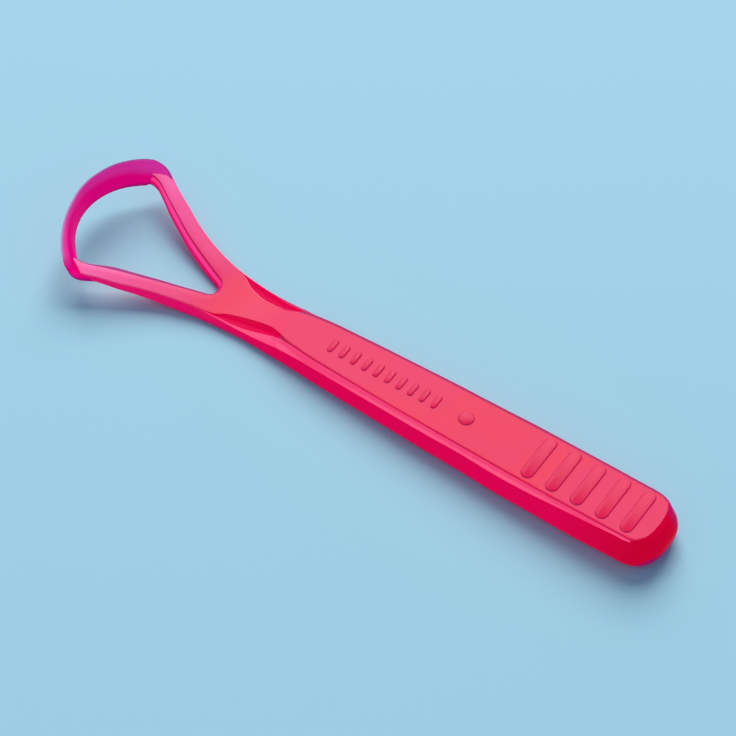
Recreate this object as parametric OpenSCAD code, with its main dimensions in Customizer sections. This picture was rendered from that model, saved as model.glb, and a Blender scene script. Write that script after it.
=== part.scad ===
// Tongue scraper, lying on the flat underside of its handle.
// X runs from the scraping edge (minus) to the tail (plus), Z is up, and the
// origin is below the middle of the overall box, on the surface it lies on.

/* [Lengths] */
// From the front of the scraping edge to the root of the fork
head_length = 38.5; // [34:0.5:44]
// From the root of the fork to the joint at the front of the handle
neck_length = 19.8; // [17:0.2:23]
// From that joint to the end of the tail
handle_length = 101.2; // [88:0.4:114]

/* [Scraping blade] */
// Inner radius of the loop at the blade's foot
loop_radius = 16.2; // [15:0.1:17.2]
// Thickness of the blade at its foot
blade_foot = 0.9; // [0.7:0.05:1.2]
// Thickness of the blade at its rounded scraping edge
blade_edge = 0.55; // [0.4:0.05:0.7]
// Height of the edge above the resting surface, at the front
blade_top = 13.2; // [11.5:0.1:14.5]
// How far the edge leans out over the foot, where the loop turns to the arms
blade_flare = 4; // [3.4:0.1:4.6]

/* [Fork] */
// Width over both arms where they meet the blade
arm_spread = 35; // [33.5:0.5:36]
// Width of one arm, measured across the tool
arm_width = 4; // [3.4:0.1:4.6]
// How much wider an arm is at its foot, on the inner side
arm_foot = 1; // [0.6:0.1:1.3]
// Height of the arms' upper face where they meet the blade
arm_top = 7.2; // [6.6:0.1:7.8]
// Height of the arms' underside there
arm_lift = 5.1; // [4.6:0.1:5.5]
// Width over the fork's root
root_width = 14.4; // [13:0.2:16]
// Radius of the inside of the fork
root_radius = 3.1; // [2.7:0.1:3.4]

/* [Neck] */
// Thickness at the thinnest place, the root of the fork
neck_height = 2.75; // [2.4:0.05:3.3]
// Width over the flanges at the narrowest place
neck_width = 12.2; // [11.4:0.2:13]
// Width of the raised face at its waist
waist_width = 5.5; // [4.6:0.1:6.4]

/* [Handle] */
// Height of the raised face at the joint with the neck
joint_height = 5.5; // [5:0.1:6]
// Height of the raised face at the tail
tail_height = 9.2; // [8:0.1:10]
// Width over the bevelled rim at the joint
joint_width = 12.6; // [12:0.2:13.4]
// Width over the bevelled rim where the handle is widest
rim_width = 16.6; // [15.4:0.2:18]
// Height of the bevelled rim, from the raised face down
rim_drop = 1.5; // [1.2:0.1:1.8]
// Width over the bulging flanks at the joint
flank_joint = 14.1; // [13.6:0.1:14.4]
// Width over the bulging flanks near the tail
flank_width = 17.1; // [16.8:0.2:18.6]
// Rounding between flanks and underside
foot_radius = 1.7; // [1.2:0.1:2.2]
// Length of the rounded tail
tail_length = 9.2; // [8.4:0.2:11]
// How far the tail reaches past the raised face
tail_round = 3.3; // [2.6:0.1:4]

/* [Raised face] */
// Width of the face plate at the joint
plate_joint = 7.4; // [6.8:0.2:8]
// Width of the face plate where it is widest
plate_width = 14.4; // [13:0.2:15.2]
// Thickness of the face plate
plate_height = 1.6; // [1:0.1:2]
// How far the plate stands above its rim
plate_step = 0.15; // [0.05:0.05:0.3]
// Flat margin of the rim around the plate
plate_margin = 0.1; // [0.05:0.05:0.2]
// Length of the rounded end of the plate
plate_round = 4; // [3:0.2:5]

/* [Thumb ribs] */
// Number of raised ribs under the thumb
thumb_count = 5; // [3:1:5]
// Length of the longest rib, across the handle
thumb_length = 12.4; // [10:0.2:13]
// Width of a rib
thumb_width = 3; // [2:0.1:3.6]
// Distance from one rib to the next
thumb_pitch = 6.4; // [5:0.1:6.8]
// Height of all the ribs above the plate
rib_height = 0.3; // [0.2:0.05:0.5]

/* [Finger ribs] */
// Number of short ribs farther forward
finger_count = 10; // [5:1:10]
// Length of a short rib, across the handle
finger_length = 3.8; // [3:0.1:4.6]
// Width of a short rib
finger_width = 1.3; // [0.8:0.1:1.8]
// Distance from one short rib to the next
finger_pitch = 3.1; // [2.6:0.1:3.4]
// Diameter of the round stud between the two groups
stud_diameter = 3.6; // [2.6:0.2:4.4]

/* [Hidden] */
$fn = 48;

// Overrun of a cutting body past the face that it cuts
cut_over = 2;
// Rounding along the arms, and how far their sides bulge
edge_round = 0.3;
arm_bulge = 0.1;
// How far the bevels bulge, in shares of their height
bevel_bulge_share = 0.08;
// Height of the middle of the neck's hollow sides, in shares of their height
hollow_share = 0.3;
// Steps along each stretch of the outline
head_steps = 24;
neck_steps = 16;
handle_steps = 26;
blade_steps = 38;
loop_steps = 8;
root_steps = 6;
flank_steps = 3;

// How far the arms' outer edges reach forward of the loop's centre, in loop radii
arm_reach_share = 0.302;
// How far forward the fork begins, in loop radii
fork_reach_share = 0.57;
// Where the loop's rounded corners end, in loop radii
corner_reach_share = 0.16;
// How steeply those corners turn into the arms
corner_power = 2.2;
// Half angle of the blade, from the front to its ends on the arms
blade_turn = 76;
// Turn at which the loop's inner side rounds into the arms
loop_turn = 59;
// Turn from which the blade's inner side lies flat against the arms' ends, the middle of
// that flat seat, and how far it leans out for each unit of height
seat_turn = 58;
seat_middle = (seat_turn + blade_turn) / 2;
seat_lean_share = 0.62;
// Turn of the root's rounding where it meets the arms
root_turn = 28;
// Roundness of the tail and of the plate's end, seen from above
tail_power = 2.6;
plate_power = 2.4;
// Where the short ribs begin, in shares of the plate's length
finger_share = 0.12;
// Height of the tail's nose, in shares of the handle's height
nose_share = 0.46;
// Reach of the rounding below the nose, in shares of the nose's height
under_share = 0.7;

overall_length = head_length + neck_length + handle_length;
root_x = head_length;
joint_x = head_length + neck_length;
loop_x = loop_radius + blade_foot;
arm_x = loop_x - arm_reach_share * loop_radius;
arm_length = root_x - arm_x;
plate_end = overall_length - tail_round;
plate_turn_x = plate_end - plate_round;
tail_x = overall_length - tail_length;
nose_z = tail_height * nose_share;
plate_tilt = atan((tail_height - joint_height) / (plate_end - joint_x));
high = blade_top + cut_over;

// Shares along the arm, from the blade to the root, and shares of the way from the
// root's value to the value at the blade
spread_shares = [[0, 1], [0.12, 0.85], [0.29, 0.62], [0.46, 0.42], [0.63, 0.25], [0.82, 0.09], [1, 0]];
rise_shares = [[0, 1], [0.12, 0.86], [0.29, 0.61], [0.46, 0.41], [0.63, 0.23], [0.82, 0.08], [1, 0.01]];
lift_shares = [[0, 1], [0.12, 0.97], [0.29, 0.67], [0.46, 0.41], [0.63, 0.18],
    [0.82, 0.02], [0.92, 0], [1, 0]];
// Arm width from the blade to the root, in shares of its named width
arm_width_shares = [[0, 0.9], [0.3, 1], [1, 1.07]];

// Shares along the neck, from the root to the joint
neck_rise_shares = [[0, 0.01], [0.12, 0], [0.26, 0.05], [0.5, 0.26], [0.74, 0.6], [0.93, 0.9], [1, 1]];
neck_rim_shares = [[0, 1], [0.12, 0.66], [0.36, 0.2], [0.6, 0], [1, 0]];
waist_shares = [[0, 0.93], [0.12, 0.83], [0.26, 0.48], [0.37, 0.27], [0.48, 0.16], [0.64, 0.04],
    [0.8, 0], [1, 0]];
neck_drop_shares = [[0, 0.2], [0.12, 0.22], [0.36, 0.35], [0.6, 0.57], [0.88, 1.1], [1, 1.18]];
flange_shares = [[0, 0.45], [0.3, 0.3], [0.74, 0.4], [1, 0.5]];

// Shares along the handle, from the joint to the plate's end, and shares of the way from
// the value at the joint to the greatest one
rim_shares = [[0, 0], [0.03, 0.1], [0.11, 0.38], [0.21, 0.6], [0.32, 0.74], [0.5, 0.92], [0.6, 1],
    [0.7, 1], [0.79, 0.88], [0.88, 0.73], [1, 0.6]];
flank_shares = [[0, 0], [0.11, 0.46], [0.25, 0.7], [0.52, 0.89], [0.73, 0.96], [0.92, 1], [1, 1]];
plate_shares = [[0, 0], [0.015, 0.15], [0.04, 0.31], [0.09, 0.5], [0.14, 0.57], [0.24, 0.7], [0.33, 0.8],
    [0.5, 0.9], [0.62, 0.97], [0.72, 1], [0.9, 0.98], [1, 0.96]];
drop_shares = [[0, 1.18], [0.11, 1], [0.5, 0.95], [0.64, 1], [0.73, 0.68], [0.83, 0.47], [1, 0.36]];

// Shares of the blade's half turn, with its lean and its height at each
lean_shares = [[0, 0], [0.2, 0.02], [0.32, 0.1], [0.42, 0.26], [0.53, 0.5], [0.63, 0.71], [0.74, 0.91],
    [0.84, 0.93], [0.95, 0.6], [1, 0.22]];
crown_shares = [[0, 1], [0.1, 0.99], [0.21, 0.98], [0.32, 0.92], [0.42, 0.8], [0.53, 0.62], [0.63, 0.47],
    [0.74, 0.33], [0.84, 0.19], [0.95, 0.04], [1, 0]];
// Where the blade's inner face bends, in shares of its lean and of its height
bend_lean_share = 0.46;
bend_height_share = 0.62;
// Greatest height of that bend beside the arms' ends
seat_height_share = 0.9;
// Rise of the blade's foot from its ends to the front, in shares of the arms' lift
foot_rise_share = 0.08;
// Growth of the foot's thickness towards the ends
foot_growth_share = 0.6;
// How far the fork's opening runs into the blade's foot, and past it at the arms' upper
// face, in shares of the foot's thickness
loop_foot_share = 0.3;
loop_flare_share = 1.2;

// Straight mix of two values
function mix(a, b, t) = a * (1 - t) + b * t;
function limit(v, low, top) = max(low, min(top, v));
function steps(from, to, count) = [for (i = [0:count]) mix(from, to, i / count)];

// Smooth value of a table of [place, value] pairs, through all its points
function span_at(table, x, i = 0) =
    (i >= len(table) - 2 || x <= table[i + 1][0]) ? i : span_at(table, x, i + 1);
function slope_at(table, i) =
    let (a = max(i - 1, 0), b = min(i + 1, len(table) - 1))
    (table[b][1] - table[a][1]) / (table[b][0] - table[a][0]);
function smooth(table, place) =
    let (x = limit(place, table[0][0], table[len(table) - 1][0]))
    let (i = span_at(table, x), run = table[i + 1][0] - table[i][0], t = (x - table[i][0]) / run)
    let (m0 = slope_at(table, i) * run, m1 = slope_at(table, i + 1) * run)
    (2 * t ^ 3 - 3 * t ^ 2 + 1) * table[i][1] + (t ^ 3 - 2 * t ^ 2 + t) * m0
    + (3 * t ^ 2 - 2 * t ^ 3) * table[i + 1][1] + (t ^ 3 - t ^ 2) * m1;

// Places along the tool as shares of the arm, the neck and the handle
function on_arm(x) = (x - arm_x) / arm_length;
function on_neck(x) = (x - root_x) / neck_length;
function on_handle(x) = (x - joint_x) / (plate_end - joint_x);

// Upper face, seen from the side
function face_z(x) = x < root_x ? mix(neck_height, arm_top, smooth(rise_shares, on_arm(x)))
    : x < joint_x ? mix(neck_height, joint_height, smooth(neck_rise_shares, on_neck(x)))
    : mix(joint_height, tail_height, on_handle(x));
// Underside, seen from the side
function under_z(x) = x < root_x ? arm_lift * max(0, smooth(lift_shares, on_arm(x))) : 0;
// Half width over the outer edge of arms, flanges and rim
function rim_y(x) = x < root_x ? mix(root_width, arm_spread, smooth(spread_shares, on_arm(x))) / 2
        + max(arm_x - x, 0) * (arm_spread - root_width) / arm_length
    : x < joint_x ? mix(neck_width, root_width, smooth(neck_rim_shares, on_neck(x))) / 2
        + (joint_width - neck_width) / 2 * max(0, 2 * on_neck(x) - 1) ^ 2
    : mix(joint_width, rim_width, smooth(rim_shares, on_handle(x))) / 2;
// Half width over the bulging flanks
function flank_y(x) = x < root_x ? rim_y(x) + arm_bulge
    : x < joint_x ? rim_y(x) + mix(arm_bulge, (flank_joint - joint_width) / 2, on_neck(x))
    : mix(flank_joint, flank_width, smooth(flank_shares, on_handle(x))) / 2;
// Half width of the raised face
function face_y(x) = x < root_x ? rim_y(x) - edge_round
    : x < joint_x ? mix(waist_width, root_width, smooth(waist_shares, on_neck(x))) / 2
        + (plate_joint + 2 * plate_margin - waist_width) / 2 * max(0, 5 * on_neck(x) - 4) ^ 2
    : mix(plate_joint, plate_width, smooth(plate_shares, on_handle(x))) / 2;
// Drop from the raised face to the outer edge
function drop_z(x) = x < root_x ? edge_round
    : rim_drop * (x < joint_x ? smooth(neck_drop_shares, on_neck(x)) : smooth(drop_shares, on_handle(x)));
// Share of the bevel's width that lies as a flat flange beside the neck's hollows
function flange_share(x) = x < root_x || x >= joint_x ? 0.5 : smooth(flange_shares, on_neck(x));

// Half a section, from the edge of the upper face down to the foot
function half_section(x) =
    let (neck = x > root_x && x < joint_x, share = flange_share(x), step = x > joint_x ? plate_step : 0)
    let (face = face_y(x) + (x < joint_x ? 0 : plate_margin), rim = rim_y(x), flank = flank_y(x))
    let (top = face_z(x) - step, edge = face_z(x) - drop_z(x), low = under_z(x))
    let (foot = mix(edge_round, foot_radius, limit(on_neck(x), 0, 1)), side = edge - low - foot)
    let (inner_y = mix(rim, face, share))
    let (inner_z = mix(edge, top, neck ? share ^ 2 : share + bevel_bulge_share))
    let (mid_y = mix(inner_y, face, 0.5))
    let (mid_z = mix(inner_z, top, neck ? hollow_share : 0.5 + bevel_bulge_share))
    concat(
        [[face, top], [mid_y, mid_z], [inner_y, inner_z], [rim, edge]],
        [for (i = [1:flank_steps - 1])
            let (t = i / flank_steps) [mix(rim, flank, sin(90 * t)), edge - side * t]],
        [for (a = [0:30:90]) [flank - foot + foot * cos(a), low + foot - foot * sin(a)]]
    );
function full_ring(x) = let (half = half_section(x)) concat(
    [for (p = half) [x, p[0], p[1]]],
    [for (i = [len(half) - 1:-1:0]) [x, -half[i][0], half[i][1]]]
);

// Half a section of the handle, with the seat of the plate before it
function handle_section(x) = concat(
    [[face_y(x), face_z(x) - plate_height / cos(plate_tilt)],
        [face_y(x), face_z(x) - (x > joint_x ? plate_step : 0)]],
    half_section(x)
);
// The same points where they meet the middle of the tail, as place along the tool and height
function tail_points() =
    let (side = half_section(tail_x), rim_x = plate_end + rim_y(tail_x) - face_y(tail_x))
    let (edge = side[3][1], reach = overall_length - rim_x, lip_x = plate_end + plate_margin)
    concat(
        [[plate_end, 0], [plate_end, 0], [lip_x, 0], [mix(lip_x, rim_x, 0.25), mix(side[0][1], edge, 0.25)],
            [mix(lip_x, rim_x, 0.5), mix(side[0][1], edge, 0.5)], [rim_x, edge]],
        [for (i = [1:flank_steps - 1]) let (a = 90 * i / flank_steps)
            [rim_x + reach * sin(a), nose_z + (edge - nose_z) * cos(a)]],
        [for (a = [0:30:90]) [overall_length - under_share * nose_z * (1 - cos(a)), nose_z * (1 - sin(a))]]
    );
// One line along the handle, round the tail and back
function handle_line(k, tips) =
    let (seat = k < 2, from = seat ? plate_turn_x : tail_x, reach = tips[k][0] - from)
    let (power = 2 / (seat ? plate_power : tail_power), side = handle_section(from)[k])
    let (half = concat(
        [for (x = steps(joint_x, from, handle_steps)) let (p = handle_section(x)[k]) [x, p[0], p[1]]],
        [for (turn = [9:9:90]) let (x = from + reach * sin(turn) ^ power)
            [x, side[0] * cos(turn) ^ power,
                k < 3 ? side[1] + face_z(x) - face_z(from) : mix(side[1], tips[k][1], sin(turn) ^ 2)]]
    ), last = len(half) - 1)
    concat(half, [for (i = [last - 1:-1:0]) [half[i][0], -half[i][1], half[i][2]]]);

// Triangles between one line of n points and the next one
function strip(i, n, count) = concat(
    [for (j = [0:count - 1]) [i * n + j, i * n + (j + 1) % n, (i + 1) * n + (j + 1) % n]],
    [for (j = [0:count - 1]) [i * n + j, (i + 1) * n + (j + 1) % n, (i + 1) * n + j]]
);
// Solid through closed rings with the same number of points
module loft(rings) {
    n = len(rings[0]);
    last = len(rings) - 1;
    polyhedron(
        points = [for (ring = rings) for (p = ring) p],
        faces = concat(
            [[for (j = [n - 1:-1:0]) j]],
            [for (i = [0:last - 1]) for (face = strip(i, n, n)) face],
            [[for (j = [0:n - 1]) last * n + j]]
        )
    );
}
// Solid through open lines with the same number of points, closed by a flat face at their ends
module open_loft(lines) {
    n = len(lines[0]);
    last = len(lines) - 1;
    polyhedron(
        points = [for (line = lines) for (p = line) p],
        faces = concat(
            [[for (j = [0:n - 1]) j]],
            [for (i = [0:last - 1]) for (face = strip(i, n, n - 1)) [face[0], face[2], face[1]]],
            [[for (j = [n - 1:-1:0]) last * n + j]],
            [concat([for (i = [0:last]) i * n + n - 1], [for (i = [last:-1:0]) i * n])]
        )
    );
}

// Blade: lean and height of the edge at one turn from the front
function edge_lean(turn) = blade_flare * smooth(lean_shares, abs(turn) / blade_turn);
function edge_z(turn) = mix(arm_top, blade_top, smooth(crown_shares, abs(turn) / blade_turn));
function foot_z(turn) = arm_lift * (1 + foot_rise_share * cos(turn * 90 / blade_turn));
function foot_width(turn) = blade_foot * (1 + foot_growth_share * (abs(turn) / blade_turn) ^ 4);
function around(turn, out, z) = [loop_x - out * cos(turn), -out * sin(turn), z];
// Radius of the flat seat of the arms' ends at a turn and a height
function seat_radius(turn, z) =
    (loop_radius * cos(seat_middle - seat_turn) + (z - arm_lift) * seat_lean_share)
    / cos(abs(turn) - seat_middle);
// Inner side of the blade from foot to edge
function blade_inner(turn) =
    let (foot = foot_z(turn), rise = edge_z(turn) - foot, lean = edge_lean(turn) + blade_foot - blade_edge)
    let (seated = abs(turn) >= seat_turn, bend = foot + rise * bend_height_share)
    let (bend_z = seated ? min(max(bend, arm_top), foot + rise * seat_height_share) : bend)
    [[seated ? seat_radius(turn, foot) : loop_radius, foot],
        [seated ? seat_radius(turn, bend_z) : loop_radius + lean * bend_lean_share, bend_z],
        [max(loop_radius + lean, seated ? seat_radius(turn, foot + rise) : 0), foot + rise]];
function blade_ring(turn) =
    let (inner = blade_inner(turn), foot = loop_radius + foot_width(turn), top = inner[2][0] + blade_edge)
    [for (p = concat(inner, [[top, inner[2][1]], [mix(foot, top, bend_lean_share), inner[1][1]],
        [foot, inner[0][1]]]))
        around(turn, p[0], p[1])];

// Half width of the opening between the arms
function gap_y(x) = rim_y(x) - arm_width * smooth(arm_width_shares, on_arm(x));
// Half the outline of that opening, at the upper face (foot = 0) or at the underside (foot = 1)
function gap_half(foot) =
    let (inset = foot * arm_foot, round = root_radius - inset)
    let (corner = loop_x - loop_radius * corner_reach_share)
    let (loop = loop_radius + blade_foot * mix(loop_flare_share, loop_foot_share, foot))
    let (centre = root_x - root_radius)
    let (turn_x = loop_x - loop * cos(loop_turn), turn_y = loop * sin(loop_turn))
    concat(
        [for (turn = steps(0, loop_turn, loop_steps)) [loop_x - loop * cos(turn), loop * sin(turn)]],
        [for (t = [0.25, 0.5, 0.75])
            [mix(turn_x, corner, t), mix(turn_y, gap_y(corner) - inset, t ^ corner_power)]],
        [for (x = steps(corner, centre, loop_steps)) [x, gap_y(x) - inset]],
        [for (turn = steps(root_turn, 90, root_steps)) [centre + round * sin(turn), round * cos(turn)]]
    );
function gap_height(x, foot) = foot > 0 ? under_z(max(x, arm_x)) : face_z(max(x, arm_x));
function gap_ring(foot, z) =
    let (half = gap_half(foot), last = len(half) - 1)
    [for (p = concat([for (i = [0:last]) half[i]], [for (i = [last - 1:-1:1]) [half[i][0], -half[i][1]]]))
        [p[0], p[1], is_undef(z) ? gap_height(p[0], foot) : z]];

// The thin upright band that scrapes, crowned along its edge
module scraper_blade() {
    color("mediumvioletred")
    loft([for (turn = steps(blade_turn, -blade_turn, blade_steps)) blade_ring(turn)]);
}

// Everything beyond the flat end of one arm, where the blade's inner side lies against it
module arm_end() {
    translate([loop_x, 0, arm_lift])
    rotate([0, 0, 180 - seat_middle])
    translate([loop_radius * cos(seat_middle - seat_turn), 0, 0])
    rotate([0, atan(seat_lean_share), 0])
    translate([0, -loop_radius, -loop_radius])
    cube([loop_radius, 2 * loop_radius, 2 * loop_radius]);
}

// The two arms, their root and the waisted neck, in one piece
module neck_fork() {
    front = loop_x - loop_radius * fork_reach_share;
    color("hotpink")
    difference() {
        loft([for (x = concat(steps(front, root_x, head_steps), steps(root_x, joint_x, neck_steps)))
            if (x != root_x) full_ring(x)]);
        loft([gap_ring(1, -cut_over), gap_ring(1), gap_ring(0), gap_ring(0, high)]);
        for (side = [0, 1]) mirror([0, side, 0]) arm_end();
    }
}

// Moves what is drawn on a level plan to the tilted upper face of the handle
module on_face() {
    translate([joint_x, 0, joint_height])
    rotate([0, -plate_tilt, 0])
    translate([-joint_x, 0, 0])
    children();
}

// Handle: seat of the plate, rim, flanks, tail and underside
module grip_body() {
    tips = tail_points();
    color("crimson")
    open_loft([for (k = [0:len(tips) - 1]) handle_line(k, tips)]);
}

// The raised face, seated in the handle and flush with the neck
module face_plate() {
    color("salmon")
    intersection() {
        linear_extrude(high) polygon([for (p = handle_line(0, tail_points())) [p[0], p[1]]]);
        on_face()
        translate([joint_x - cut_over, -rim_width, -plate_height])
        cube([handle_length + cut_over, 2 * rim_width, plate_height]);
    }
}

// One raised rib with round ends, lying across the handle
module rib(length, width) {
    linear_extrude(rib_height) {
        square([width, length - width], center = true);
        for (side = [-1, 1]) translate([0, side * (length - width) / 2]) circle(d = width);
    }
}

// Broad ribs for the thumb, near the tail
module thumb_ribs() {
    last = plate_end - plate_round - thumb_width / 2;
    color("tomato")
    on_face()
    for (i = [0:thumb_count - 1])
        translate([last - i * thumb_pitch, 0, 0]) rib(thumb_length, thumb_width);
}

// Short ribs and a stud for the finger, farther forward
module finger_ribs() {
    first = joint_x + (plate_end - joint_x) * finger_share;
    color("tomato")
    on_face() {
        for (i = [0:finger_count - 1])
            translate([first + i * finger_pitch, 0, 0]) rib(finger_length, finger_width);
        translate([first + (finger_count + 1) * finger_pitch + stud_diameter / 2, 0, 0])
            cylinder(h = rib_height, d = stud_diameter);
    }
}

// Brings the box's middle over the origin
module placed() {
    translate([-overall_length / 2, 0, 0]) children();
}

placed() scraper_blade();
placed() neck_fork();
placed() grip_body();
placed() face_plate();
placed() thumb_ribs();
placed() finger_ribs();
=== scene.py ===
import math

import bmesh
import bpy
import numpy as np
from mathutils import Matrix, Vector


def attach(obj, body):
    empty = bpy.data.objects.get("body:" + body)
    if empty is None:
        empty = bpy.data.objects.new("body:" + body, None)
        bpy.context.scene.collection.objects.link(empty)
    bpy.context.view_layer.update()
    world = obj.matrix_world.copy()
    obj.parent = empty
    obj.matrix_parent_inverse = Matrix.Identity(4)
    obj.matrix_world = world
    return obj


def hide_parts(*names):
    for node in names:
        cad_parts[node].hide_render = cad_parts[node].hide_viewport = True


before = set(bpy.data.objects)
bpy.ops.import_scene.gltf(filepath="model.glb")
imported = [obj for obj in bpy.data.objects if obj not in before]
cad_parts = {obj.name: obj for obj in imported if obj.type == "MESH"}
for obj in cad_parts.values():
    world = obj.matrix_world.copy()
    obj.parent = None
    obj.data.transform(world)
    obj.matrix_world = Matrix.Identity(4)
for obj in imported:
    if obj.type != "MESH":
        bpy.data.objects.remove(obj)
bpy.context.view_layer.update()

# ---------------------------------------------------------------- neck and fork
# The front half of the tool: two arms that carry the scraping band, their rounded
# root and a waisted neck with a hollow on each side. It is hot pink plastic, moulded
# in one shot with the handle, and glossy straight from the polished mould.

# All lengths are in millimetres, along the tool from the foot of the band (x), across
# it (y) and up from the surface that it lies on (z). The arms' front ends are cut
# slanting; from ARM_SQUARE on, their sections stand square to the tool.
TOOL_LENGTH = 159.5
LOOP_START, ARM_START, ARM_SQUARE, ARM_END = 7.9, 11.9, 18, 36.7
LOOP_END, ROOT_RADIUS = 38.65, 2.95
HOLLOW_START = 36
NECK_END = 58.3
HANDLE_LOW, HANDLE_RISE, HANDLE_RUN = 5.5, 3.7, 97.9

FACE_HEIGHT = [(7, 8.15), (11.4, 7.36), (15.4, 6.52), (19.9, 5.48), (24.2, 4.6), (28.8, 3.84),
               (33.7, 3.26), (38.5, 2.74), (40.8, 2.62), (43.7, 2.66), (48.4, 3.12), (53.1, 4.14),
               (56.3, 4.97), (58.3, 5.5)]
EDGE_WIDTH = [(8, 19.2), (11.4, 17.65), (12.3, 17.3), (13.2, 16.95), (14.2, 16.42), (15.4, 15.79),
              (19.9, 13.77), (24.2, 11.6), (28.8, 9.74), (33.7, 8.27), (38.5, 7.21), (43, 6.81),
              (48, 6.58), (53, 6.45), (58, 6.37), (63, 6.4), (69.2, 6.65), (79.6, 7.14),
              (90.9, 7.57), (100.3, 7.85), (109.7, 7.95), (119.2, 8.32), (128.6, 8.27),
              (138.1, 7.95), (147.5, 7.7), (150.3, 7.66)]
EDGE_DROP = [(8, .14), (38.5, .14), (43, .34), (48, .92), (53, 1.66), (58, 2.18), (63, 2.05),
             (69.2, 1.9), (90, 1.52), (109.7, 1.48), (123.3, 1.6), (132.3, 1.38), (142.3, 1.05),
             (150.3, .6)]
FACE_WIDTH = [(36, 7.3), (38.5, 6.98), (40.8, 6.46), (41.6, 6.2), (43.7, 4.82), (45.8, 4.05),
              (47.9, 3.45), (51.1, 3.02), (54.4, 2.86), (55.5, 3.0), (57.2, 3.5), (59.8, 4.4),
              (61.8, 4.82), (66.8, 5.38), (71.7, 5.67), (76.7, 5.88), (81.8, 6.13), (91.3, 6.51),
              (101.3, 6.71), (111.3, 6.9), (120.3, 7.08), (130.3, 7.2), (139.3, 7.18), (149, 7.14),
              (152.2, 7.1)]
FLANGE_WIDTH = [(36, 7.5), (38.5, 7.1), (40.8, 6.83), (43, 6.6), (46, 6.36), (50, 5.92), (53, 5.35),
                (56, 4.95), (58.5, 4.85), (59.8, 4.9), (61.8, 5.15), (66.8, 5.65), (71.7, 5.9),
                (81.8, 6.33), (101.3, 6.91), (120.3, 7.28), (139.3, 7.38), (152.2, 7.3)]
FLANGE_DROP = [(36, .07), (40.8, .14), (43, .24), (46, .42), (50, .65), (54, .8), (57, .65),
               (59.8, .5), (63, .17), (152.2, .14)]
HOLLOW_DROP = [(36, .07), (39.5, .12), (42, .4), (46, .8), (50, 1.1), (54, 1.2), (57, 1.0),
               (59.5, .7), (62, .36), (152.2, .3)]
FLANK_BULGE = [(8, .6), (20, .36), (30, .62), (38.5, .93), (50, .62), (58.3, .92), (69.3, 1.1),
               (90, .85), (109.7, .85), (128, .8), (140, 1.15), (150.3, 1.0)]
FOOT_RADIUS = [(8, .45), (30, .5), (38.5, .7), (58.3, 1.2), (90, 1.6), (150, 2)]
UNDERSIDE = [(8, 5.1), (13.3, 5.1), (15.4, 4.98), (19.9, 3.42), (24.2, 2.1), (28.8, .9),
             (33.7, .12), (36.3, 0), (38, 0), (159, 0)]
INSIDE = [(8.3, 15.0), (9.2, 15.02), (10.2, 14.88), (11.2, 14.58), (12.2, 14.1), (13.2, 13.55),
          (14.5, 12.8), (16.3, 11.85), (19.9, 9.95), (23.5, 8.12), (26.3, 6.85), (30.9, 5.0),
          (34.7, 3.5), (36.75, 2.76), (38, 2.3)]
LOOP_FOOT = [(8.3, 13.9), (9.3, 13.98), (10.1, 13.85), (11.65, 13.3), (13.27, 12.28),
             (15.42, 10.88), (17.2, 9.75), (19.9, 8.4), (26.3, 5.4), (30.9, 3.6), (34.7, 2.22),
             (36.75, 1.6), (38, 1.3)]


def follow(table, place):
    """Smooth value of a table of (place, value) pairs."""
    at, value = (list(column) for column in zip(*table))
    x = min(max(place, at[0]), at[-1])
    i = min(max(int(np.searchsorted(at, x)) - 1, 0), len(at) - 2)

    def slope(k):
        a, b = max(k - 1, 0), min(k + 1, len(at) - 1)
        return (value[b] - value[a]) / (at[b] - at[a])

    run = at[i + 1] - at[i]
    t = (x - at[i]) / run
    return ((2 * t**3 - 3 * t**2 + 1) * value[i] + (t**3 - 2 * t**2 + t) * run * slope(i)
            + (3 * t**2 - 2 * t**3) * value[i + 1] + (t**3 - t**2) * run * slope(i + 1))


def mix(a, b, t):
    """The share t of the way from a to b."""
    return a + (b - a) * t


def face_height(x):
    """Height of the tool's flat upper side."""
    if x < NECK_END:
        return follow(FACE_HEIGHT, x)
    return HANDLE_LOW + (x - NECK_END) * HANDLE_RISE / HANDLE_RUN


def rounded(corners, samples):
    """A line through corners, each given as its coordinates and a radius that rounds it off."""
    line = []
    for i, (*corner, radius) in enumerate(corners):
        here = np.array(corner, float)
        if not radius:
            line.append(here)
            continue
        before = np.array(corners[i - 1][:-1], float) - here
        after = np.array(corners[i + 1][:-1], float) - here
        cut = min(radius, .49 * np.linalg.norm(before), .49 * np.linalg.norm(after))
        a = here + before / np.linalg.norm(before) * cut
        b = here + after / np.linalg.norm(after) * cut
        for t in np.linspace(0, 1, samples):
            line.append((1 - t)**2 * a + 2 * t * (1 - t) * here + t**2 * b)
    return line


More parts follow.
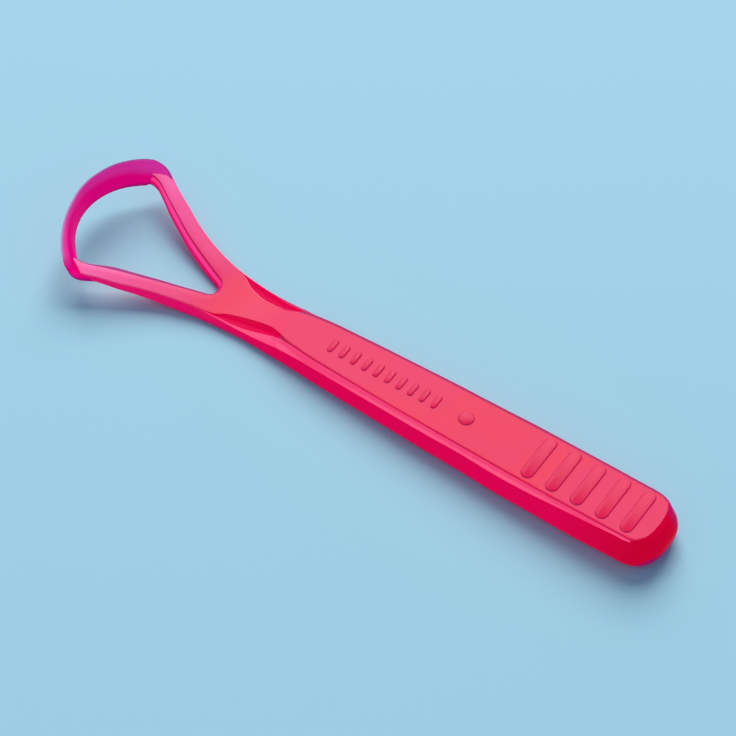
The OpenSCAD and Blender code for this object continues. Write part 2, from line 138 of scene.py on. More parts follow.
def side_profile(x):
    """The tool's side at one place, from the edge of the face down to the foot: 3 points
    of the face's edge, 8 of the hollow or groove, 21 of the bevel and 14 of the flank."""
    top, low = face_height(x), max(follow(UNDERSIDE, x), 0)
    edge_y, edge_z = follow(EDGE_WIDTH, x), top - follow(EDGE_DROP, x)
    face_y = edge_y - .16
    if x > HOLLOW_START:
        face_y = min(follow(FACE_WIDTH, x), face_y)
    flange_y = min(max(follow(FLANGE_WIDTH, x), face_y + .08), edge_y - .07)
    flange_z = max(top - follow(FLANGE_DROP, x), edge_z + .02)
    hollow_z = min(top - follow(HOLLOW_DROP, x), flange_z)
    bulge, foot = follow(FLANK_BULGE, x), follow(FOOT_RADIUS, x)
    line = [np.array((face_y - .09, top)), np.array((face_y - .03, top - .015)),
            np.array((face_y, top - .06))]
    start, end = line[-1], np.array((flange_y, flange_z))
    pull = [np.array((mix(face_y, flange_y, share), hollow_z)) for share in (.12, .6)]
    for t in np.linspace(0, 1, 10)[1:-1]:
        u = 1 - t
        line.append(u**3 * start + 3 * t * u**2 * pull[0] + 3 * t**2 * u * pull[1] + t**3 * end)
    sag = .1 * (edge_y - flange_y)
    bevel_y, bevel_z = mix(flange_y, edge_y, .5) - sag, mix(flange_z, edge_z, .5) - sag
    line += rounded([(face_y, hollow_z, 0), (flange_y, flange_z, .06), (bevel_y, bevel_z, .5),
                     (edge_y, edge_z, .3), (edge_y + bulge, mix(low, edge_z, .45), 9),
                     (edge_y + bulge - .05, low, foot), (0, low, 0)], 7)[1:-1]
    return line


# The wall inside the loop drops steeply from the face, runs out over a slanting ledge
# and then drops again, given here as shares of its spread and of its height.
INSIDE_WALL = [(0, .04), (.03, .09), (.07, .17), (.16, .24), (.32, .29), (.5, .34), (.64, .39),
               (.73, .44), (.79, .52), (.86, .65), (.93, .8), (.97, .9), (.98, .95), (.96, .985),
               (.9, 1)]

# At the loop's root the foot of that wall swings round on a smaller radius; the angles
# are in radians from straight across the tool. The rest are small widths: the rounded
# lip of the loop, the cut under it and the painted shade line along it.
ROOT_SPREAD = 1.2
ROOT_SHIFT, ROOT_SHIFT_END = .35, -.15
ROOT_FROM, ROOT_TURN, ROOT_MIDDLE = .42, 1.15, 1.57
LIP, UNDERCUT, EDGE_LINE = .05, .3, .42


def fork_rows():
    """Half sections of the fork and neck: from the middle or the loop's edge over the
    face, down the outside, along the underside and up the wall inside the loop."""
    stations = [(mix(ARM_START, ARM_SQUARE, u), mix(LOOP_START, ARM_SQUARE, u), None)
                for u in np.linspace(0, 1, 30)]
    stations += [(x, x, None) for x in np.linspace(ARM_SQUARE, ARM_END, 34)[1:]]
    stations += [(LOOP_END - ROOT_RADIUS * (1 - math.sin(turn)), None, turn)
                 for turn in np.radians(np.linspace(24, 90, 22))]
    stations += [(x, x, 0) for x in np.linspace(LOOP_END, NECK_END, 84)[1:]]
    rows = []
    for outer, inner, turn in stations:
        if turn is None:
            top_in, low_in = (inner, follow(INSIDE, inner)), (inner, follow(LOOP_FOOT, inner))
        elif turn:
            centre = LOOP_END - ROOT_RADIUS
            swing = mix(ROOT_SHIFT, ROOT_SHIFT_END, (turn - ROOT_FROM) / ROOT_TURN)
            top_in, low_in = [(centre + shift + radius * math.sin(turn), radius * math.cos(turn))
                              for radius, shift in ((ROOT_RADIUS, 0),
                                                    (ROOT_RADIUS - ROOT_SPREAD, swing))]
        else:
            top_in = low_in = (inner, 0)
        top, low = face_height(top_in[0]), max(follow(UNDERSIDE, low_in[0]), 0)
        side = [np.array((outer, *p)) for p in side_profile(outer)]
        lip = LIP if turn is None or 0 < turn < ROOT_MIDDLE else 0
        first = np.array((top_in[0], top_in[1] + lip, top - lip))
        width = EDGE_LINE * min(max((outer - 14) / 10, .4), 1)
        line = min(width / np.linalg.norm(side[0] - first), .3)
        row = [first]
        row += [mix(first, side[0], t) + (0, 0, lip * (1 - t)) for t in (line, .5, .98)] + side
        row.append(np.array((low_in[0], low_in[1] + (UNDERCUT if lip else 0), low)))
        for out, drop in INSIDE_WALL[::-1]:
            row.append(np.array((mix(top_in[0], low_in[0], out), mix(top_in[1], low_in[1], out),
                                 mix(top, low, drop))))
        rows.append(row)
    return rows


def put(point):
    """Tool coordinates in millimetres to the part's own frame in metres."""
    return Vector(((point[0] - TOOL_LENGTH / 2) / 1000, point[1] / 1000, point[2] / 1000))


def skin(name, rows, plastics, paint, ring=False, ends=None, mirrored=False, crease=38, skip=None,
         marks=None):
    """A smooth piece through rows of points; paint picks one of its plastics by row, column
    and side, with row -1 for an end. Marks, one number for each point, become the attribute
    "mark" for the plastic to use. Skip says which patches stay open."""
    mesh = bmesh.new()
    layer = mesh.verts.layers.float.new("mark")
    for side in ((1, -1) if mirrored else (1,)):
        made = [[mesh.verts.new(put((p[0], p[1] * side, p[2]))) for p in row] for row in rows]
        for points, values in zip(made, marks or []):
            for vertex, value in zip(points, values):
                vertex[layer] = value
        across = len(rows[0])
        for i in range(len(rows) - 1):
            for j in range(across if ring else across - 1):
                if skip and skip(i, j):
                    continue
                k = (j + 1) % across
                patch = mesh.faces.new((made[i][j], made[i][k], made[i + 1][k], made[i + 1][j]))
                patch.material_index = plastics.index(paint(i, j, side))
        for row in {"front": made[:1], "both": [made[0], made[-1]]}.get(ends, []):
            mesh.faces.new(row).material_index = plastics.index(paint(-1, 0, side))
    bmesh.ops.remove_doubles(mesh, verts=mesh.verts, dist=1e-6)
    bmesh.ops.dissolve_degenerate(mesh, edges=mesh.edges, dist=1e-7)
    bmesh.ops.recalc_face_normals(mesh, faces=mesh.faces)
    data = bpy.data.meshes.new(name)
    mesh.to_mesh(data)
    mesh.free()
    data.shade_smooth()
    data.set_sharp_from_angle(angle=math.radians(crease))
    for plastic in plastics:
        data.materials.append(plastic.material)
    piece = bpy.data.objects.new(name, data)
    bpy.context.scene.collection.objects.link(piece)
    return piece


class Term:
    """A socket in a material; arithmetic on it adds Math nodes."""

    def __init__(self, plastic, socket):
        self.plastic, self.socket = plastic, socket

    def maths(self, operation, *values):
        return self.plastic.node("Math", {"operation": operation}, dict(enumerate(values)))

    def __sub__(self, other):
        return self.maths("SUBTRACT", self, other)

    def __rsub__(self, other):
        return self.maths("SUBTRACT", other, self)

    def __mul__(self, other):
        return self.maths("MULTIPLY", self, other)

    __rmul__ = __mul__

    def __truediv__(self, other):
        return self.maths("DIVIDE", self, other)

    def __rtruediv__(self, other):
        return self.maths("DIVIDE", other, self)

    def larger(self, other):
        return self.maths("MAXIMUM", self, other)

    def clamp(self):
        return self.plastic.node("Math", {"operation": "ADD", "use_clamp": True}, {0: self, 1: 0})


class Plastic:
    """A glossy plastic, perhaps with a painted glow that stands in for light coming through it.
    Its surface sockets are set by name; nodes are added by type, with their settings first and
    then their sockets."""

    def __init__(self, name, glow=None, **surface):
        self.material = bpy.data.materials.new(name)
        self.material.use_nodes = True
        self.tree = self.material.node_tree
        self.shader = self.tree.nodes["Principled BSDF"]
        for socket, value in surface.items():
            self.set(socket.replace("_", " "), value)
        if glow:
            self.set("Emission Color", (*glow, 1))
            self.set("Emission Strength", 1)

    def set(self, socket, value):
        if isinstance(value, Term):
            self.tree.links.new(value.socket, self.shader.inputs[socket])
        else:
            self.shader.inputs[socket].default_value = value

    def node(self, kind, settings, inputs, output=0):
        """A node of this kind: its settings, then the values or links of its sockets."""
        made = self.tree.nodes.new("ShaderNode" + kind)
        for key, value in settings.items():
            setattr(made, key, value)
        for key, value in inputs.items():
            if isinstance(value, Term):
                self.tree.links.new(value.socket, made.inputs[key])
            else:
                made.inputs[key].default_value = value
        return Term(self, made.outputs[output])

    def place(self, axis):
        """One coordinate of the surface in the part's own frame, in millimetres."""
        coords = self.node("TexCoord", {}, {}, "Object")
        return self.node("SeparateXYZ", {}, {0: coords}, axis) * 1000

    def tint(self, first, second, amount):
        """Mix of two colours."""
        return self.node("Mix", {"data_type": "RGBA"}, {0: amount, 6: first, 7: second}, 2)

    def cloud(self, size):
        """Soft irregular patches of about this size in millimetres."""
        coords = self.node("TexCoord", {}, {}, "Object")
        return self.node("TexNoise", {}, {"Vector": coords, "Scale": 1000 / size, "Detail": 1.0})

    def ripple(self, size, height):
        """Slight unevenness of a moulded surface, as a bump of this height in metres."""
        sockets = {"Height": self.cloud(size), "Strength": 1.0, "Distance": height}
        return self.node("Bump", {}, sockets)

    def mottle(self, first, second, size):
        """Base colour that drifts between two colours in patches of this size."""
        self.set("Base Color", self.tint(first, second, self.cloud(size)))


def step(term, low, high):
    """0 below low, 1 above high, straight between."""
    return ((term - low) / (high - low)).clamp()


# One pink plastic, split into lit and shaded copies: their colours, gloss and painted glow are
# set for the way light falls on each part. The faces that look up mirror the studio light. The
# walls show the pink alone with a painted glow, which stands in for light coming through the
# plastic; towards the band the glow is bluer, towards the tail weaker and redder. Places are in
# millimetres from the middle of the tool.
# Face: painted glow. Towards the arms the base is lighter and bluer, a painted reflection of the
# light on their sloping tops. Soft redder patches are painted where that reflection is weaker.
face_plastic = Plastic("coral_pink_face_painted_glow_and_sheen", (.35, .004, .015), Roughness=.24, Specular_IOR_Level=.135)
armward = step(face_plastic.place("X"), -38, -67)
redder = step(face_plastic.cloud(15), .45, .62) * .6
pink = face_plastic.tint((.52, 0, .075, 1), (.57, 0, .035, 1), redder)
face_plastic.set("Base Color", face_plastic.tint(pink, (.72, .14, .36, 1), armward))
face_plastic.set("Normal", face_plastic.ripple(8, .00004))

# Bevel: painted highlight and glow. It is lighter than the walls, as the bevel is where it catches
# the light, and is used only on the near side.
bevel_highlight_plastic = Plastic("bright_pink_bevel_painted_highlight", (.78, .025, .09), Roughness=.2,
                        Specular_IOR_Level=.115)
armward = step(bevel_highlight_plastic.place("X"), -33, -60)
bevel_highlight_plastic.set("Base Color", bevel_highlight_plastic.tint((.42, .04, .14, 1), (.44, .03, .33, 1), armward))
bevel_highlight_plastic.set("Normal", bevel_highlight_plastic.ripple(10, .00003))

# Walls: painted glow, bluer towards the arms and weaker and redder towards the tail.
wall_plastic = Plastic("pink_wall_painted_glow_and_shade", Roughness=.2, Specular_IOR_Level=.012, Emission_Strength=1)
armward = step(wall_plastic.place("X"), -22, -60)
tailward = step(wall_plastic.place("X"), 55, 76)
endward = step(wall_plastic.place("X"), 74.5, 78.5)
# Painted shade: darker and purpler along the foot of the walls, over the low end of the tail, and
# on the far side towards the tail.
shaded = 1 - step(wall_plastic.place("Z") - endward * 3.1, .1, 1.3)
shaded = shaded.larger(tailward * step(wall_plastic.place("Y"), 2.5, 6.5))
pink = wall_plastic.tint((.22, 0, .07, 1), (.20, 0, .02, 1), tailward)
pink = wall_plastic.tint(pink, (.30, .01, .16, 1), armward)
wall_plastic.set("Base Color", wall_plastic.tint(pink, (.18, .01, .14, 1), shaded))
pink = wall_plastic.tint((.63, 0, .038, 1), (.50, 0, .018, 1), tailward)
pink = wall_plastic.tint(pink, (.60, .002, .058, 1), armward)
low_shade_glow = wall_plastic.tint((.34, 0, .045, 1), (.20, 0, .04, 1), endward)
wall_plastic.set("Emission Color", wall_plastic.tint(pink, low_shade_glow, shaded))
wall_plastic.set("Normal", wall_plastic.ripple(10, .00004))

# Hollow: painted glow with little gloss. On the far side the same dark red is painted over the
# flange and bevel as painted shade.
hollow_plastic = Plastic("deep_red_hollow_painted_glow_and_shade", (.62, 0, .035), Roughness=.25, Specular_IOR_Level=.01)
hollow_plastic.mottle((.22, 0, .04, 1), (.15, 0, .03, 1), 6)

# Painted shade: a dark red line in the grooves, in the ring round each rib and at the top of the
# wall inside the loop.
groove_shade_plastic = Plastic("red_groove_painted_shade", (.36, .008, .05), Roughness=.4, Specular_IOR_Level=.02)
groove_shade_plastic.mottle((.28, .02, .09, 1), (.24, .01, .07, 1), 6)

# Painted shade: a dark line along edges that turn from the light. It runs along the near arm's
# inner edge, the far bevel, the far edge of the face and the band's foot.
shade_line_plastic = Plastic("painted_shade_edge_line", (.12, .004, .05), Roughness=.4, Specular_IOR_Level=.03)
armward = step(shade_line_plastic.place("X"), -33, -60)
shade_line_plastic.set("Base Color", shade_line_plastic.tint((.36, .03, .09, 1), (.29, .05, .15, 1), armward))

# Painted highlight: a bright pink stripe along the ledge of the wall inside the loop.
ledge_highlight_plastic = Plastic("pink_ledge_painted_highlight", (.74, .012, .12), Roughness=.25,
                        Specular_IOR_Level=.03)
ledge_highlight_plastic.mottle((.40, .05, .22, 1), (.46, .07, .26, 1), 6)

# Painted highlight: a pale strip along the far edge of the neck's face.
edge_highlight_plastic = Plastic("pale_edge_painted_highlight", (.72, .11, .19), Roughness=.3, Specular_IOR_Level=.03)
edge_highlight_plastic.mottle((.40, .16, .22, 1), (.42, .18, .24, 1), 6)


# Where the plastics change, in columns from the middle of the face outwards, down the
# side and up again inside the loop, and in rows from the front of the arms. The near side
# takes painted highlights where the far side takes painted shade.
EDGE_COLUMN, FACE_COLUMNS, HOLLOW_COLUMNS, BEVEL_COLUMNS, WALL_COLUMNS = 4, 6, 15, 32, 51
NEAR_LINE_COLUMN, LEDGE_COLUMN, GROOVE_COLUMN, LAST_COLUMN = 57, 58, 62, 65
FAR_SHINE_COLUMN, FAR_HOLLOW_COLUMNS, FAR_LINE_COLUMNS = 6, 26, 54
LEDGE_ROWS, GROOVE_ROWS, LOOP_ROWS, ROOT_ROWS, SHINE_FROM, SHINE_TO = 71, 78, 84, 86, 89, 150


def fork_paint(row, column, side):
    """The plastic of each patch of the fork; side is -1 near the camera and 1 beyond, and
    the two sides differ by painted highlight and painted shade.
    """
    if row < 0:
        return wall_plastic
    # Painted shade: a dark line along the near arm's inner edge and down the inside wall.
    if side < 0 and row <= LOOP_ROWS and (column == 0 or column >= NEAR_LINE_COLUMN):
        return shade_line_plastic
    if column < FACE_COLUMNS or column == LAST_COLUMN and row <= GROOVE_ROWS:
        # Painted highlight: the pale strip along the far edge of the neck's face.
        highlit_edge = side > 0 and EDGE_COLUMN <= column < FACE_COLUMNS and SHINE_FROM <= row < SHINE_TO
        return edge_highlight_plastic if highlit_edge else face_plastic
    if column < BEVEL_COLUMNS and row <= ROOT_ROWS:
        return face_plastic
    if column < BEVEL_COLUMNS:
        if side > 0 and column == FAR_SHINE_COLUMN and row < SHINE_TO:
            return edge_highlight_plastic
        # Far side: hollow colour and a painted shade line over the flange and bevel. Near side: the
        # bevel's painted highlight.
        if column < (FAR_HOLLOW_COLUMNS if side > 0 else HOLLOW_COLUMNS):
            return hollow_plastic
        return shade_line_plastic if side > 0 else bevel_highlight_plastic
    if column < WALL_COLUMNS or row > GROOVE_ROWS:
        return wall_plastic
    # Inside the loop, a painted shade line low on the far wall. A painted shade line at the wall's
    # top, with a painted highlight on the ledge below it.
    if side > 0 and column < FAR_LINE_COLUMNS:
        return shade_line_plastic
    if column >= GROOVE_COLUMN:
        return groove_shade_plastic
    return ledge_highlight_plastic if column >= LEDGE_COLUMN and row <= LEDGE_ROWS else wall_plastic


fork = skin("neck_and_arms", fork_rows(),
            [face_plastic, bevel_highlight_plastic, wall_plastic, hollow_plastic, groove_shade_plastic,
             shade_line_plastic, ledge_highlight_plastic, edge_highlight_plastic],
            fork_paint, ring=True, ends="front", mirrored=True, crease=32,
            skip=lambda row, column: row >= LOOP_ROWS and column >= WALL_COLUMNS - 1)
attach(fork, "root")
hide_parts("neck_fork")

# ---------------------------------------------------------------- scraping band
# The thin wall that does the scraping: it stands up round the front of the loop, leans
# outward towards the arms and is crowned along its edge. It is the thinnest place of the
# moulding and magenta; its glow is painted and stands in for light coming through, and the
# purple towards its edge is a painted reflection of the sky on its flared upper part.
LOOP_CENTRE, LOOP_RADIUS = 17.1, 16.2
CORNER_TURN = 60
BAND_EDGE = .55
FOOT_HEIGHT, FOOT_CROWN, FOOT_DROP, FOOT_EXTRA = 5.1, .08, .25, .56
NEAR_TIP = np.array((.17, .14, -.2))
EDGE_LEAN = [(0, .34), (8, .38), (16, .43), (24, .7), (32, 1.2), (40, 1.82), (48, 2.48), (54, 3.0),
             (60, 3.5)]
EDGE_HEIGHT = [(0, 13.15), (8, 13.1), (16, 13.0), (24, 12.8), (32, 12.35), (40, 11.7), (48, 11.05),
               (54, 10.5), (60, 9.75)]
FOOT_THICK = [(0, .9), (40, 1.0), (50, 1.2), (60, 2.2), (64, 2.9), (68, 3.2), (76, 3.0), (88, 2.0)]
BEND_SHARE = [(0, .46), (36, .46), (52, .3), (60, .26)]

# Past the corner's turn, in degrees from the front, the wall dies into the arm: places of
# its outer top edge, its outer foot and the way that its inside faces. The near corner of
# the edge is lower than the far one.
CORNER_EDGE = [(60, (6.975, 17.54, 9.75)), (64, (7.85, 18.15, 9.1)), (68, (8.95, 18.45, 8.55)),
               (72, (10.15, 18.42, 8.1)), (76, (11.2, 18.1, 7.75)), (80, (12.2, 17.56, 7.36)),
               (84, (13.5, 16.74, 6.8)), (88, (15.4, 15.68, 6.25))]
CORNER_FOOT = [(60, (7.9, 15.93, 5.12)), (64, (8.15, 17.0, 5.1)), (68, (8.95, 17.85, 5.1)),
               (72, (10.05, 18.25, 5.1)), (76, (11.15, 18.3, 5.1)), (80, (12.2, 18.05, 5.1)),
               (84, (13.5, 17.4, 5.08)), (88, (15.4, 16.12, 4.98))]
NEAR_CORNER_EDGE = [(60, (7.15, 17.68, 9.55)), (64, (8.15, 18.42, 8.6)), (68, (9.2, 18.68, 7.45)),
                    (72, (10.3, 18.66, 6.85)), (76, (11.45, 18.5, 6.75)), (80, (12.4, 18.05, 6.6)),
                    (84, (13.4, 17.25, 6.45)), (88, (14.7, 16.3, 6.2))]
CORNER_FACING = [(60, -60), (64, -64), (68, -72), (72, -84), (76, -98), (80, -110), (84, -116),
                 (88, -117)]


def band_points(turn, side):
    """Outer and inner foot and edge of the band at one station."""
    a, thick = math.radians(min(turn, CORNER_TURN)), follow(FOOT_THICK, turn)
    radial = np.array((-math.cos(a), math.sin(a), 0))
    centre = np.array((LOOP_CENTRE, 0, 0))
    before_corner = CORNER_TURN - turn
    if before_corner >= 0:
        foot = FOOT_HEIGHT * (1 + FOOT_CROWN * math.cos(a * 90 / 76))
        foot = foot - FOOT_DROP * min(before_corner / 12, 1)
        edge = centre + radial * (LOOP_RADIUS + follow(EDGE_LEAN, turn) + BAND_EDGE)
        edge[2] = follow(EDGE_HEIGHT, turn)
        if side < 0:
            edge = edge + NEAR_TIP * min(max((turn - 48) / 12, 0), 1)
        base = centre + radial * (LOOP_RADIUS + thick)
        base[2], inward = foot, -radial
        thick = thick + FOOT_EXTRA * min(before_corner / (5 if side > 0 else 16), 1)
    else:
        top_table = CORNER_EDGE if side > 0 else NEAR_CORNER_EDGE
        edge, base = [np.array([follow([(t, p[k]) for t, p in table], turn) for k in range(3)])
                      for table in (top_table, CORNER_FOOT)]
        facing = math.radians(follow(CORNER_FACING, turn))
        inward = np.array((math.cos(facing), math.sin(facing), 0))
    return edge, edge + inward * BAND_EDGE, base + inward * thick, base


def band_ring(station):
    """The band's section at one station, as points round it."""
    turn, side = abs(station), 1 if station >= 0 else -1
    edge_out, edge_in, foot_in, foot_out = band_points(turn, side)
    span, height = np.linalg.norm((edge_out - foot_out)[:2]), edge_out[2] - foot_out[2]
    edge_out = edge_out - np.array((0, 0, min(.3, .4 * BAND_EDGE * span / max(height, 1))))
    share = follow(BEND_SHARE, min(turn, CORNER_TURN))

    def bend(foot, edge):
        return np.array((*mix(foot[:2], edge[:2], share), mix(foot[2], edge[2], .62)))

    corners = [(foot_in, .45), (bend(foot_in, edge_in), 1.1), (edge_in, .16), (edge_out, .2),
               (bend(foot_out, edge_out), 1.1), (foot_out, .35)]
    around = [(*corners[-1][0], 0)] + [(*c, r) for c, r in corners] + [(*corners[0][0], 0)]
    return [(x, y * side, z) for x, y, z in rounded(around, 6)[1:-1]]


# Share of the band's height at which the painted reflection begins to turn it purple, from
# the near corner to the far one, and the turns at which the purple has faded out again.
PURPLE_START = [(-60, .82), (-20, .69), (20, .56), (60, .5)]
NEAR_FADE, FAR_FADE = 68, 86


def band_marks(station):
    """How far each point of the section has turned to the purple of the painted reflection,
    towards the edge.
    """
    ring = band_ring(station)
    low, high = min(p[2] for p in ring), max(p[2] for p in ring)
    start = follow(PURPLE_START, min(max(station, -CORNER_TURN), CORNER_TURN))
    fade = min(max((FAR_FADE - station if station > 0 else NEAR_FADE + station) / 8, 0), 1)
    return [fade * min(max(((p[2] - low) / (high - low) - start) / .24, 0), 1) for p in ring]


band_plastic = Plastic("magenta_band_painted_glow_and_reflection", Roughness=.25, Specular_IOR_Level=.006,
                       Emission_Strength=1)
climb = band_plastic.node("Attribute", {"attribute_name": "mark"}, {}, "Fac")
# Painted light: the purple and its glow are lighter on the near side.
nearward = step(band_plastic.place("Y"), 0, -12)
purple = band_plastic.tint((.39, .03, .24, 1), (.48, .10, .30, 1), nearward)
# Painted shade: the foot of the band is darker.
foot = 1 - step(band_plastic.place("Z"), 5.7, 6.3)
pink = band_plastic.tint((.36, 0, .13, 1), (.26, .01, .14, 1), foot)
band_plastic.set("Base Color", band_plastic.tint(pink, purple, climb))
purple = band_plastic.tint((.45, .012, .165, 1), (.52, .014, .165, 1), nearward)
pink = band_plastic.tint((.53, 0, .115, 1), (.26, 0, .075, 1), foot)
band_plastic.set("Emission Color", band_plastic.tint(pink, purple, climb))
band_plastic.set("Normal", band_plastic.ripple(12, .00004))
# Painted highlight on the near part of the band's top edge, painted shade on its far part.
rim_plastic = Plastic("band_rim_painted_highlight_and_shade", (.15, .01, .09), Roughness=.25, Specular_IOR_Level=.05)
farward = step(rim_plastic.place("Y"), -12, 8)
rim_plastic.set("Base Color", rim_plastic.tint((.66, .26, .5, 1), (.22, .04, .16, 1), farward))


NEAR_CORNER_ROW, FAR_CORNER_ROW = 36, 164
FOOT_LINE_COLUMNS, RIM_COLUMNS = range(4), range(15, 22)


def band_paint(row, column, side):
    """The plastic of each patch of the band: wall, top edge with painted highlight and shade, or
    a painted shade line at its foot.
    """
    if column in RIM_COLUMNS and row > NEAR_CORNER_ROW:
        return rim_plastic
    if column in FOOT_LINE_COLUMNS and NEAR_CORNER_ROW < row < FAR_CORNER_ROW:
        return shade_line_plastic
    return band_plastic


stations = np.concatenate([np.linspace(-88, -CORNER_TURN, 40)[:-1],
                           np.linspace(-CORNER_TURN, CORNER_TURN, 121),
                           np.linspace(CORNER_TURN, 88, 40)[1:]])
band = skin("scraping_band", [band_ring(t) for t in stations],
            [band_plastic, rim_plastic, shade_line_plastic], band_paint, ring=True, ends="both",
            marks=[band_marks(t) for t in stations])
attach(band, "root")
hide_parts("scraper_blade")

# ---------------------------------------------------------------- handle
# The thick end of the moulding: a bevelled rim with a fine groove round the raised
# face, flanks that bulge a little, a flat underside and a rounded tail. The same hot
# pink plastic, deeper and redder here, where the painted glow of its walls is weaker; the
# groove takes painted shade, the near bevel a painted highlight and the far bevel a painted
# shade line.
FINE_PART = 72
TAIL = 150.3
FACE_TURN, FACE_END = 152.2, 156.2
NOSE_OUT, NOSE_HEIGHT = .29, 4.3
FACE_CURVE, TAIL_CURVE = 2 / 2.4, 2 / 2.6
STEP_DOWN = .6


def handle_profile(x):
    """The handle's side at one place, from under the raised face to the underside."""
    side = side_profile(x)
    face_y, top = side[2][0], face_height(x)
    seat = [(face_y - .4, top - STEP_DOWN), (face_y + .03, top - STEP_DOWN),
            (face_y + .07, top - .2)]
    return [np.array(p) for p in seat] + side[3:] + [np.array((0, 0))]


def tail_profile():
    """The same line of points at the middle of the tail, as place along the tool and height."""
    side, top = handle_profile(TAIL), face_height(FACE_END)
    seat = [(FACE_END - .4, top - STEP_DOWN), (FACE_END + .03, top - STEP_DOWN)]
    bend = rounded([(FACE_END + .07, top - .2, 0), (FACE_END + 1.5, top - .75, 1.1),
                    (TOOL_LENGTH + NOSE_OUT, NOSE_HEIGHT, 3.2), (TOOL_LENGTH - .9, 0, 2.6),
                    (TAIL, 0, 0)], 9)

    def along(line):
        return np.concatenate([[0], np.cumsum([np.linalg.norm(b - a)
                                               for a, b in zip(line, line[1:])])])

    lengths, share = along(bend[:-1]), along(side[2:-1])
    share = share / share[-1] * lengths[-1]
    xs = np.interp(share, lengths, [p[0] for p in bend[:-1]])
    zs = np.interp(share, lengths, [p[1] for p in bend[:-1]])
    return [np.array(p) for p in seat + list(zip(xs, zs)) + [(TAIL, 0)]]


def places_to(end):
    """Places along the handle, closer together where it widens behind the neck."""
    return np.concatenate([np.linspace(NECK_END, FINE_PART, 40),
                           np.linspace(FINE_PART, end, 60)[1:]])


def handle_rows():
    """Half sections along the handle and then round its tail."""
    rows = [[(x, *p) for p in handle_profile(x)] for x in places_to(TAIL)]
    side, tail = handle_profile(TAIL), tail_profile()
    face = [np.array(p) for p in handle_profile(FACE_TURN)[:3]]
    for turn in np.linspace(0, 90, 33)[1:]:
        s, c = math.sin(math.radians(turn)), math.cos(math.radians(turn))
        row = []
        for k, (here, there) in enumerate(zip(side, tail)):
            start, power = (FACE_TURN, FACE_CURVE) if k < 3 else (TAIL, TAIL_CURVE)
            x = start + (there[0] - start) * s**power
            half, z = here[0], mix(here[1], there[1], s * s)
            if k < 3:
                half, z = face[k][0], face[k][1] + (face_height(x) - face_height(start))
            row.append((x, half * max(c, 0)**power, z))
        rows.append(row)
    return rows


TAIL_ROW, RIM_GROOVE_COLUMNS, RIM_BEVEL_COLUMNS = 104, 11, 28


def handle_paint(row, column, side):
    """The plastic of each patch of the handle: painted shade in the groove, the bevel's painted
    highlight on the near side and a painted shade line on the far side.
    """
    if row > TAIL_ROW or column >= RIM_BEVEL_COLUMNS:
        return wall_plastic
    if column < RIM_GROOVE_COLUMNS:
        return groove_shade_plastic
    return bevel_highlight_plastic if side < 0 else shade_line_plastic


handle = skin("handle_body", handle_rows(),
              [bevel_highlight_plastic, wall_plastic, groove_shade_plastic, shade_line_plastic], handle_paint,
              mirrored=True, crease=34)
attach(handle, "root")
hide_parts("grip_body")

# ---------------------------------------------------------------- raised face
# The flat upper side of the handle, which stands a hair above its rim and runs on into
# the neck without a seam. It is part of the moulding; the polished mould leaves it
# glossy and very slightly uneven.
EDGE_ROUND = .06


def face_rows():
    """Half sections of the face, from the foot of its step to its middle."""
    outline = [(x, side_profile(x)[2][0]) for x in places_to(FACE_TURN)]
    half = outline[-1][1]
    for turn in np.linspace(0, 90, 25)[1:]:
        s, c = math.sin(math.radians(turn)), math.cos(math.radians(turn))
        outline.append((FACE_TURN + 4 * s**FACE_CURVE, half * max(c, 0)**FACE_CURVE))
    rows = []
    for x, y in outline:
        top = face_height(x)
        inset = min(EDGE_ROUND, y)
        rows.append([(x, y, top - STEP_DOWN), (x, y, top - EDGE_ROUND),
                     (x, y - inset * .3, top - .016), (x, y - inset, top),
                     (x, max(y - .5, y * .9), top), (x, y * .5, top), (x, 0, top)])
    return rows


FAR_EDGE_COLUMNS, FAR_EDGE_ROWS = 4, 106


def face_paint(row, column, side):
    """The plastic of each patch of the face, with a painted shade line along its far edge."""
    lined = side > 0 and column < FAR_EDGE_COLUMNS and row < FAR_EDGE_ROWS
    return shade_line_plastic if lined else face_plastic


face = skin("raised_face", face_rows(), [face_plastic, shade_line_plastic], face_paint, mirrored=True,
            crease=40)
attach(face, "root")
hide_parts("face_plate")

# ---------------------------------------------------------------- ribs
# Grip relief in the raised face: broad ribs for the thumb near the tail, short ribs
# and a round stud farther forward. They are cut into the mould, so they stand up with
# soft edges. Round each lies a thin flat ring a hair above the face, painted dark as
# painted shade for a fine groove, and their faces take a painted glow.
RIB_HEIGHT, RIB_GROOVE, GROOVE_LIFT = .28, .16, .012
THUMB_PITCH, THUMB_LENGTH, THUMB_WIDTH = 6.4, 12.2, 2.9
FINGER_PITCH, FINGER_LENGTH, FINGER_WIDTH = 3.1, 3.7, 1.2
STUD_AFTER, STUD_WIDTH = 35.9, 3.5

# A rib's section: how far each ring of points lies outside its outline, and its height.
RIB_RINGS = [(RIB_GROOVE, GROOVE_LIFT), (.02, GROOVE_LIFT), (0, GROOVE_LIFT),
             (-.03, RIB_HEIGHT - .07), (-.07, RIB_HEIGHT - .02), (-.14, RIB_HEIGHT)]


def stadium(x, length, width, grow):
    """Outline of a rib with round ends, lying across the handle."""
    straight, radius = (length - width) / 2, width / 2 + grow
    points = []
    for end in (1, -1):
        for a in np.linspace(0, math.pi, 16):
            points.append((x + end * radius * math.cos(a), end * (straight + radius * math.sin(a))))
    return points


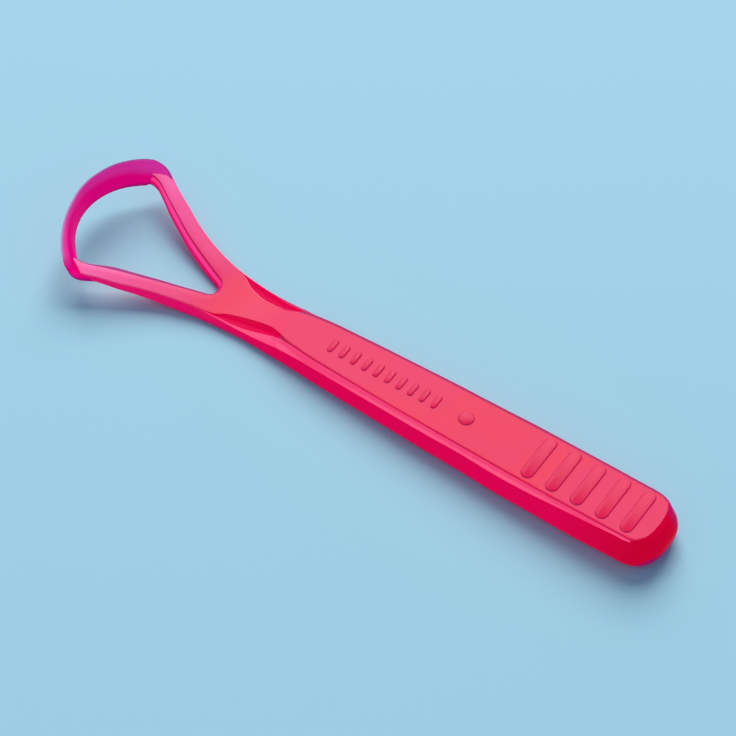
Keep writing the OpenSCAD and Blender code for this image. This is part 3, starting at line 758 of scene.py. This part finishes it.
def ribs(name, places, plastic, shadow):
    """All ribs of one group as one piece; places are (x, length, width), and shadow is the
    plastic of the ring of painted shade round each rib.
    """
    mesh = bmesh.new()
    for x, length, width in places:
        rings = [[mesh.verts.new(put((px, py, face_height(px) + lift)))
                  for px, py in stadium(x, length, width, grow)] for grow, lift in RIB_RINGS]
        for i, (a, b) in enumerate(zip(rings, rings[1:])):
            for j in range(len(a)):
                k = (j + 1) % len(a)
                made = mesh.faces.new((a[j], a[k], b[k], b[j]))
                # The three outer rings form the flat ring of painted shade.
                made.material_index = 1 if i < 3 else 0
        mesh.faces.new(rings[-1])
    bmesh.ops.recalc_face_normals(mesh, faces=mesh.faces)
    data = bpy.data.meshes.new(name)
    mesh.to_mesh(data)
    mesh.free()
    data.shade_smooth()
    data.set_sharp_from_angle(angle=math.radians(50))
    piece = bpy.data.objects.new(name, data)
    bpy.context.scene.collection.objects.link(piece)
    data.materials.append(plastic.material)
    data.materials.append(shadow.material)
    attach(piece, "root")
    return piece


# Rib faces: painted glow.
rib_plastic = Plastic("rib_pink_painted_glow", (.35, .002, .015), Roughness=.26, Specular_IOR_Level=.125)
rib_plastic.mottle((.46, 0, .06, 1), (.50, 0, .05, 1), 10)

last = FACE_TURN - 1.5
thumb = ribs("thumb_relief",
             [(last - i * THUMB_PITCH, THUMB_LENGTH, THUMB_WIDTH) for i in range(5)],
             rib_plastic, groove_shade_plastic)
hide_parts("thumb_ribs")
first = NECK_END + (FACE_END - NECK_END) * .12
finger = ribs("finger_relief",
              [(first + i * FINGER_PITCH, FINGER_LENGTH, FINGER_WIDTH) for i in range(10)]
              + [(first + STUD_AFTER, STUD_WIDTH, STUD_WIDTH - .0001)], rib_plastic, groove_shade_plastic)
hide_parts("finger_ribs")

# ---------------------------------------------------------------- table, light and camera
# A smooth pale blue sheet of card that fills the view. One large soft light stands above
# and behind the tool, and a small one on the near left gives only gloss.
floor_card = Plastic("pale_blue_card", Roughness=.6, IOR=1.4)
floor_card.mottle((.34, .605, .66, 1), (.35, .615, .67, 1), 300)
bpy.ops.mesh.primitive_plane_add(size=6, location=(0, 0, -.0002))
table = bpy.context.object
table.name = "blue_table"
table.data.materials.append(floor_card.material)


def soft_light(name, towards, distance, width, height, power):
    """A softbox that faces the middle of the tool."""
    data = bpy.data.lights.new(name, "AREA")
    data.shape, data.size, data.size_y, data.energy = "RECTANGLE", width, height, power
    lamp = bpy.data.objects.new(name, data)
    direction = Vector(towards).normalized()
    lamp.location = direction * distance
    lamp.rotation_mode = "QUATERNION"
    lamp.rotation_quaternion = direction.to_track_quat("Z", "Y")
    bpy.context.scene.collection.objects.link(lamp)
    return lamp


soft_light("key_softbox", (-.395, .637, .661), 4.0, 3.08, 2.8, 184)
card = soft_light("gloss_card", (-.28, -.78, .57), .9, .8, .9, 13.0)
card.visible_diffuse = False

world = bpy.data.worlds.new("studio")
bpy.context.scene.world = world
world.use_nodes = True
world.node_tree.nodes["Background"].inputs[0].default_value = (.50, .72, 1.1, 1)
world.node_tree.nodes["Background"].inputs[1].default_value = .42

# The camera stands at the photograph's angle, this far away in metres, with a long lens.
CAMERA_DISTANCE = .8093
back = Vector((.3078, -.4957, .8121))
right = Vector((.8255, .5635, .0310))
up = Vector((-.4730, .6609, .5827))
aim = Vector((-.00016, .00003, .00514))
camera_data = bpy.data.cameras.new("photo_camera")
camera_data.sensor_width, camera_data.lens = 36, 176.09
camera_data.clip_start, camera_data.clip_end = .01, 20
camera = bpy.data.objects.new("photo_camera", camera_data)
camera.matrix_world = (Matrix.Translation(aim + back * CAMERA_DISTANCE)
                       @ Matrix((right, up, back)).transposed().to_4x4())
bpy.context.scene.collection.objects.link(camera)
bpy.context.scene.camera = camera
bpy.context.scene.view_settings.view_transform = "Standard"
